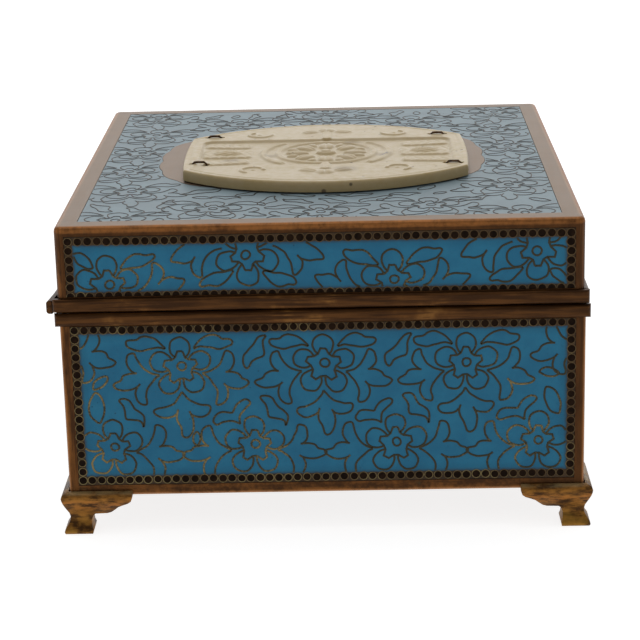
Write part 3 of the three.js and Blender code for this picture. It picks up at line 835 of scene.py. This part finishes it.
def lay_wires(field, settings):
    """Bends a flat wire along every line of the field's pattern and sets it in."""
    on_top = field.side == "top"
    pattern = top_pattern if on_top else PATTERNS[field.part]
    half = settings.wire_width / 2 / MM * (0.7 if on_top else 1)
    top, foot = settings.wire_proud / MM, -settings.wire_sunk / MM
    section = [(-half * 1.15, foot), (half * 1.15, foot), (half, top), (-half, top)]
    profile = flat_curve("wire_section", [section], closed=True)
    stretches = []
    for kind, line in pattern(field):
        line = softened(line) if kind == "soft" else evened(line, 0.8)
        stretches += cut_to(field, [by_hand(point) for point in line])
    strips = []
    for layer in range(WIRE_LAYERS):
        wires = flat_curve(f"cloisons_{field.name}", stretches[layer::WIRE_LAYERS])
        wires.data.bevel_mode = "OBJECT"
        wires.data.bevel_object = profile
        wires.data.use_fill_caps = True
        select(wires)
        bpy.ops.object.convert(target="MESH")
        strips.append(bpy.context.object)
        strips[-1].data.transform(Matrix.Translation((0, 0, layer * WIRE_STEP)))
    for strip in strips:
        strip.select_set(True)
    bpy.ops.object.join()
    piece = bpy.context.object
    bpy.data.objects.remove(profile)
    piece.data.transform(field.matrix)
    return piece


def ring_template(settings, sides=12):
    """One border ring: a wire round a shallow dome of dark enamel. Its middle is the origin."""
    deselect()
    proud, sunk = settings.wire_proud, settings.wire_sunk
    bpy.ops.mesh.primitive_circle_add(
        vertices=sides, radius=settings.ring_radius, fill_type="NGON", location=(0, 0, -sunk))
    ring = bpy.context.object
    bpy.ops.object.transform_apply(location=True)
    with editing(ring):
        bpy.ops.mesh.extrude_region_move(TRANSFORM_OT_translate={"value": (0, 0, sunk + proud)})
        bpy.ops.mesh.inset(thickness=settings.ring_width)
        bpy.ops.mesh.extrude_region_move(TRANSFORM_OT_translate={"value": (0, 0, -proud * 0.8)})
        bpy.ops.mesh.poke(offset=proud * 0.5)
    for face in ring.data.polygons:
        face.material_index = 1 if len(face.vertices) == 3 else 0
    return ring


def border_places(field, pitch, inset=1.15):
    """The middles of the rings round a side field, as (u, v); rows lie `inset` from the pattern."""
    column = field.half_length - COLUMN_WIDTH / 2 + 0.1
    foot, head = field.open_low - inset, field.open_high + inset
    along = round(2 * column / pitch)
    upright = round((head - foot) / pitch)
    places = [(column * (2 * i / along - 1), v) for i in range(along + 1) for v in (foot, head)]
    for j in range(1, upright):
        v = foot + (head - foot) * j / upright
        places += [(-column, v), (column, v)]
    return places


def set_rings(field, template, settings, seed, materials):
    """Repeats the ring round a field, each a little off its place, and trims those at the edge."""
    chance = random.Random(seed)
    mesh = bmesh.new()
    for u, v in border_places(field, settings.ring_pitch / MM):
        start = len(mesh.verts)
        mesh.from_mesh(template.data)
        mesh.verts.ensure_lookup_table()
        size = chance.uniform(0.94, 1.03) / MM
        shift = Vector((u + chance.uniform(-0.09, 0.09), v + chance.uniform(-0.09, 0.09), 0))
        for vert in mesh.verts[start:]:
            vert.co = Vector((vert.co.x * size, vert.co.y * size, vert.co.z / MM)) + shift
    for height, side in ((field.low, -1), (field.high, 1)):
        everything = [*mesh.verts, *mesh.edges, *mesh.faces]
        bmesh.ops.bisect_plane(
            mesh, geom=everything, plane_co=(0, height, 0), plane_no=(0, side, 0), clear_outer=True)
    data = bpy.data.meshes.new(f"rings_{field.name}")
    for material in materials:
        data.materials.append(material)
    mesh.to_mesh(data)
    mesh.free()
    data.transform(field.matrix)
    return added(data.name, data)


def recast(node, bevel=0.45 * MM, sharp=math.radians(30)):
    """A merged copy of a CAD node, its arrises softened where they turn more than `sharp`."""
    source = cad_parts[node]
    piece = source.copy()
    piece.data = source.data.copy()
    piece.parent = None
    bpy.context.collection.objects.link(piece)
    with editing(piece):
        bpy.ops.mesh.remove_doubles(threshold=0.01 * MM)
        bpy.ops.mesh.dissolve_limited(angle_limit=math.radians(2))
    softening = piece.modifiers.new("softened arrises", "BEVEL")
    softening.width = bevel
    softening.segments = 2
    softening.limit_method = "ANGLE"
    softening.angle_limit = sharp
    bpy.ops.object.modifier_apply(modifier=softening.name)
    bpy.ops.object.shade_smooth_by_angle(angle=math.radians(35))
    return piece


# ---- Plaque

def rise(distance, slope):
    """1 well inside an outline, 0 outside it, smoothly; distance is negative inside."""
    share = np.clip(0.5 - distance / slope, 0, 1)
    return share * share * (3 - 2 * share)


def turned(x, y, at, degrees):
    c, s = math.cos(math.radians(degrees)), math.sin(math.radians(degrees))
    dx, dy = x - at[0], y - at[1]
    return c * dx + s * dy, -s * dx + c * dy


def bar_distance(x, y, half_x, half_y, corner):
    dx = np.abs(x) - (half_x - corner)
    dy = np.abs(y) - (half_y - corner)
    outside = np.hypot(np.maximum(dx, 0), np.maximum(dy, 0))
    return outside + np.minimum(np.maximum(dx, dy), 0) - corner


def groove(offset, width):
    return np.exp(-(offset / width) ** 2)


def boss(x, y, half_x, half_y, height):
    return height * np.sqrt(np.clip(1 - (x / half_x) ** 2 - (y / half_y) ** 2, 0, 1))


# From the carving's sunk ground up to the plaque's surface, and how far behind the plaque's
# middle the rosette stands, millimetres
RELIEF = 0.6
ROSETTE_Y = 0.4


def scored(form, offset, depth=0.22, width=0.28, above=0.1):
    """A raised form with a fine line cut along offset 0."""
    return form - depth * groove(offset, width) * (form > above)


def band(radius, middle):
    """A flat ring with a line along its middle."""
    ring = 0.75 * RELIEF * rise(np.abs(radius - middle) - 0.85, 0.9)
    return ring * (1 - 0.3 * groove(radius - middle, 0.25))


def carving(x, y):
    """Height of the carving above its sunk ground at (x, y) on the plaque, in millimetres."""
    side = np.abs(x)
    back = y - ROSETTE_Y
    radius, angle = np.hypot(x, back), np.arctan2(x, back)
    quarter = math.pi / 4
    petal_turn = (angle + quarter / 2) % quarter - quarter / 2
    out, across = radius * np.cos(petal_turn), radius * np.sin(petal_turn)
    leaf_turn = angle % quarter - quarter / 2
    leaf_out, leaf_across = radius * np.cos(leaf_turn), radius * np.sin(leaf_turn)
    sector = np.abs(np.degrees(np.arctan2(back, side)))
    forms = [
        RELIEF * (1 - rise(bar_distance(x, y, 33.4, 15.4, 3), 0.9)),
        scored(boss(out - 7.7, across, 3.2, 2.1, 0.75), across),
        boss(leaf_out - 9.6, leaf_across, 1.7, 1.1, 0.55),
        scored(boss(x, back, 2.6, 2.6, 0.95), radius - 1.5, 0.25, 0.22, 0),
        band(radius, 12.75),
        band(radius, 16.75) * rise(sector - 48, 4)]
    for at, half_x, half_y, turn in (
            ((26.4, 10.0), 6.2, 2.5, 8), ((26.2, 0.2), 6.4, 4.7, 0), ((26.4, -9.8), 6.2, 2.5, -8)):
        px, py = turned(side, y, at, turn)
        pad = 0.7 * RELIEF * rise(bar_distance(px, py, half_x, half_y, 1.4), 0.9)
        feathers = groove((px + 0.5 * np.abs(py) + 20) % 2.3 - 1.15, 0.28)
        forms.append(pad * (1 - 0.28 * feathers))
    px, py = side - 26.2, y - 0.2
    shell = boss(px, py, 4.4, 3.2, 1.0)
    rays = groove((np.degrees(np.arctan2(py, px + 4.5)) + 90) % 16 - 8, 2.0)
    forms.append(shell * (1 - 0.22 * rays * (shell > 0.1)))
    for stem_y, half, tip_y, lobe_y, lobe_turn in (
            (19.6, 4.6, 26.6, 24.6, -24), (-18.4, 3.4, -24.8, -22.8, 24)):
        forms.append((RELIEF + 0.35) * rise(bar_distance(x, y - stem_y, 1.3, half, 1.1), 0.4))
        forms.append(scored(boss(x, y - tip_y, 2.9, 2.9, 1.2), x, 0.25, 0.3, 0.2))
        px, py = turned(side, y, (4.5, lobe_y), lobe_turn)
        forms.append(scored(boss(px, py, 3.4, 2.2, 1.05), py, above=0.2))
    for curl_y, middle in ((-21.2, 60), (22.2, -60)):
        dx, dy = side - 18.6, y - curl_y
        bearing = (np.degrees(np.arctan2(dy, dx)) - middle + 180) % 360 - 180
        coil = 3.0 - 0.35 * (bearing / 125)
        curl = (RELIEF + 0.3) * rise(np.abs(np.hypot(dx, dy) - coil) - 0.6, 0.5)
        forms.append(curl * rise(np.abs(bearing) - 125, 8))
        forms.append((RELIEF + 0.2) * boss(dx, dy, 1.1, 1.1, 1.0))
    return np.maximum.reduce(forms)


# The plaque, millimetres: half its width, the radius of its long edges, how far its ends swell,
# its thickness and the rounding of its rim
HALF_WIDTH, BOW, SWELL, THICKNESS, ROUNDING = 36.8, 50.0, 0.7, 2.8, 0.5


def plaque_grid(settings, half_depth, ties):
    """Points of the plaque's face, about its own middle and up from its foot, millimetres."""
    centre = BOW - half_depth
    u = np.linspace(-1, 1, settings.columns + 1)
    v = np.linspace(-1, 1, settings.rows + 1)
    u, v = np.meshgrid(u, v, indexing="ij")
    x = u * (HALF_WIDTH + SWELL * (1 - v ** 2))
    y = v * (np.sqrt(BOW ** 2 - (u * HALF_WIDTH) ** 2) - centre)
    edge = np.minimum(BOW - np.hypot(u * HALF_WIDTH, np.abs(y) + centre), (1 - np.abs(u)) * HALF_WIDTH)
    z = THICKNESS - RELIEF + carving(x, y) - 0.14 * groove(edge - 1.7, 0.3)
    inward = np.clip(edge, 0, ROUNDING)
    z -= ROUNDING - np.sqrt(np.clip(ROUNDING ** 2 - (ROUNDING - inward) ** 2, 0, None))
    for tie_x, tie_y in ties:
        for hole_x in (tie_x - 1.9, tie_x + 1.9):
            z -= 2.0 * rise(np.hypot(x - hole_x, y - tie_y) - 0.65, 0.3)
    return np.stack([x, y, z], axis=-1)


def carve_plaque(settings):
    low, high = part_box("jade_plaque")
    middle = (low + high) / 2
    ties = []
    for index in TIES:
        tie_low, tie_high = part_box(f"tie_{index}")
        ties.append(((tie_low + tie_high) / 2 - middle).xy / MM)
    grid = plaque_grid(settings, (high.y - low.y) / 2 / MM, ties)
    columns, rows, _ = grid.shape
    index = np.arange(columns * rows).reshape(columns, rows)
    faces = np.stack([index[:-1, :-1], index[1:, :-1], index[1:, 1:], index[:-1, 1:]], axis=-1)
    data = bpy.data.meshes.new("jade_plaque_carved")
    data.from_pydata(grid.reshape(-1, 3).tolist(), [], faces.reshape(-1, 4).tolist())
    data.transform(Matrix.Translation((middle.x, middle.y, low.z)) @ Matrix.Diagonal((MM, MM, MM, 1)))
    piece = added(data.name, data)
    with editing(piece, "DESELECT"):
        bpy.ops.mesh.select_non_manifold()
        bpy.ops.mesh.extrude_edges_move()
        bpy.ops.transform.resize(value=(1, 1, 0), center_override=(0, 0, low.z))
        bpy.ops.mesh.edge_face_add()
        bpy.ops.mesh.select_all(action="SELECT")
        bpy.ops.mesh.normals_make_consistent(inside=False)
    bpy.ops.object.shade_smooth_by_angle(angle=math.radians(50))
    return piece


# ---- Operators

def fields():
    sides = [Field(part, side) for part in ("body", "lid") for side in SIDES]
    return [*sides, TopField("lid", "top")]


class BoxOperator(bpy.types.Operator):
    bl_options = {"REGISTER", "UNDO"}

    def execute(self, context):
        self.make(context.scene.cloisonne_box)
        return {"FINISHED"}


class CLOISONNE_OT_copper(BoxOperator):
    """Patinate the copper walls of the body and the lid"""
    bl_idname = "cloisonne.copper"
    bl_label = "Patinate the walls"

    def make(self, box):
        wall, floor, open_end = Vector((2.2, 2.2, 0)), 1.3, 1
        for part in ("body", "lid"):
            low, high = (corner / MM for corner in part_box(f"{part}_shell"))
            start, end = low + wall, high - wall
            if part == "body":
                start.z, end.z = low.z + floor, high.z + open_end
            else:
                start.z, end.z = low.z - open_end, high.z - wall.x
            material = copper_finish(
                f"{part}_copper", box.metal, box.enamel, (low, high), (start, end),
                high.z if part == "lid" else None)
            dress([f"{part}_shell"], material)


class CLOISONNE_OT_enamel(BoxOperator):
    """Glaze the enamel fields"""
    bl_idname = "cloisonne.enamel"
    bl_label = "Glaze the fields"

    def make(self, box):
        for field in fields():
            side = field if field.side != "top" else None
            dress([field.node], enamel_finish(f"enamel_{field.name}", box.enamel, side))


class CLOISONNE_OT_rings(BoxOperator):
    """Set the ringed dots round the side fields"""
    bl_idname = "cloisonne.rings"
    bl_label = "Set the border rings"

    def make(self, box):
        wire = ring_finish("ring_wire", box.cloisons)
        dot = dot_finish("dot_enamel", box.enamel)
        template = ring_template(box.cloisons)
        for seed, field in enumerate(fields()[:-1]):
            piece = set_rings(field, template, box.cloisons, seed, (wire, dot))
            finished(piece, f"rings_{field.name}")
        bpy.data.objects.remove(template)


class CLOISONNE_OT_cloisons(BoxOperator):
    """Lay the flower pattern in wire"""
    bl_idname = "cloisonne.cloisons"
    bl_label = "Lay the cloisons"

    def make(self, box):
        wire = wire_finish("cloison_wire", box.cloisons)
        top_wire = top_wire_finish("cloison_wire_top")
        for field in fields():
            material = top_wire if field.side == "top" else wire
            piece = lay_wires(field, box.cloisons)
            finished(piece, f"cloisons_{field.name}", material)


class CLOISONNE_OT_strips(BoxOperator):
    """Finish the rounded strips round the rim and the lid"""
    bl_idname = "cloisonne.strips"
    bl_label = "Finish the strips"

    def make(self, box):
        for sides, lengthways in ((("front", "back"), "x"), (("left", "right"), "y")):
            material = strip_finish(f"strip_copper_{lengthways}", box.metal, lengthways)
            for part in ("body", "lid"):
                dress([f"{part}_moulding_{side}" for side in sides], material)


class CLOISONNE_OT_feet(BoxOperator):
    """Cast the four bracket feet"""
    bl_idname = "cloisonne.feet"
    bl_label = "Cast the feet"

    def make(self, box):
        material = casting_finish("cast_brass", box.metal)
        for end in ("front", "back"):
            for side in ("left", "right"):
                node = f"foot_{end}_{side}"
                finished(recast(node), f"{node}_casting", material, [node])


class CLOISONNE_OT_plaque(BoxOperator):
    """Carve the jade plaque"""
    bl_idname = "cloisonne.plaque"
    bl_label = "Carve the plaque"

    def make(self, box):
        piece = carve_plaque(box.jade)
        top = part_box("jade_plaque")[1].z / MM - RELIEF
        material = jade_finish("carved_jade", box.jade, top)
        finished(piece, "jade_plaque_carved", material, ["jade_plaque"])


class CLOISONNE_OT_ties(BoxOperator):
    """Darken the wires that hold the plaque"""
    bl_idname = "cloisonne.ties"
    bl_label = "Darken the tie wires"

    def make(self, box):
        dress([f"tie_{index}" for index in TIES], tie_finish("tie_copper"))


class CLOISONNE_OT_stage(BoxOperator):
    """Lay the floor and set the lights and the camera"""
    bl_idname = "cloisonne.stage"
    bl_label = "Set the stage"

    def make(self, box):
        stage = box.stage
        deselect()
        bpy.ops.mesh.primitive_plane_add(size=stage.floor_size, location=(0, 0, 0))
        floor = bpy.context.object
        floor.name = "floor"
        paper = Finish(
            "paper", Roughness=0.9, Specular_IOR_Level=0.1,
            Emission_Color=(1, 1, 1, 1), Emission_Strength=0.83)
        paper.base = paper.mix(paper.noise(600), (0.39, 0.39, 0.39), (0.41, 0.41, 0.41))
        floor.data.materials.append(paper.feed())

        # One above the box, and one behind it that glances off the lid's top
        self.light("overhead panel", (0.0, 0.3, 1.4), 1.2, 7)
        self.light("back panel", (0.0, 2.6, 0.9), 3.0, 40)

        world = bpy.data.worlds.new("studio")
        bpy.context.scene.world = world
        world.use_nodes = True
        background = world.node_tree.nodes["Background"]
        background.inputs["Color"].default_value = (1, 1, 1, 1)
        background.inputs["Strength"].default_value = 0.45

        camera = added("camera", bpy.data.cameras.new("camera"))
        camera.data.lens = stage.lens
        camera.data.sensor_width = 36
        camera.data.clip_start = 0.01
        camera.matrix_world = Matrix.Translation((0.00905, -0.5570, 0.20095))
        # It looks a little to the left, down at the box, and leans a little
        for degrees, axis in ((1.13, "Z"), (90 - 16.826, "X"), (-1.385, "Z")):
            camera.matrix_world @= Matrix.Rotation(math.radians(degrees), 4, axis)
        bpy.context.scene.camera = camera
        bpy.context.scene.view_settings.view_transform = "Standard"

    def light(self, name, place, size, power):
        """A square panel that faces the box."""
        light = bpy.data.lights.new(name, "AREA")
        light.shape = "SQUARE"
        light.size = size
        light.energy = power
        aim = (Vector((0, 0, 0.05)) - Vector(place)).to_track_quat("-Z", "Y")
        added(name, light).matrix_world = Matrix.Translation(place) @ aim.to_matrix().to_4x4()


OPERATORS = (
    CLOISONNE_OT_copper, CLOISONNE_OT_enamel, CLOISONNE_OT_rings, CLOISONNE_OT_cloisons,
    CLOISONNE_OT_strips, CLOISONNE_OT_feet, CLOISONNE_OT_plaque, CLOISONNE_OT_ties,
    CLOISONNE_OT_stage)


class CLOISONNE_PT_box(bpy.types.Panel):
    bl_label = "Cloisonne Box"
    bl_idname = "CLOISONNE_PT_box"
    bl_space_type = "VIEW_3D"
    bl_region_type = "UI"
    bl_category = "Cloisonne Box"

    def draw(self, context):
        box = context.scene.cloisonne_box
        for group in (box.cloisons, box.enamel, box.metal, box.jade, box.stage):
            column = self.layout.column(align=True)
            for name in group.__annotations__:
                column.prop(group, name)
        for operator in OPERATORS:
            self.layout.operator(operator.bl_idname)


CLASSES = (
    CloisonSettings, EnamelSettings, MetalSettings, JadeSettings, StageSettings, BoxSettings,
    *OPERATORS, CLOISONNE_PT_box)


def register():
    for item in CLASSES:
        bpy.utils.register_class(item)
    bpy.types.Scene.cloisonne_box = PointerProperty(type=BoxSettings)


def unregister():
    del bpy.types.Scene.cloisonne_box
    for item in reversed(CLASSES):
        bpy.utils.unregister_class(item)


def main():
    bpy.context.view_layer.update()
    register()
    for operator in OPERATORS:
        group, name = operator.bl_idname.split(".")
        getattr(getattr(bpy.ops, group), name)()


if __name__ == "__main__":
    main()
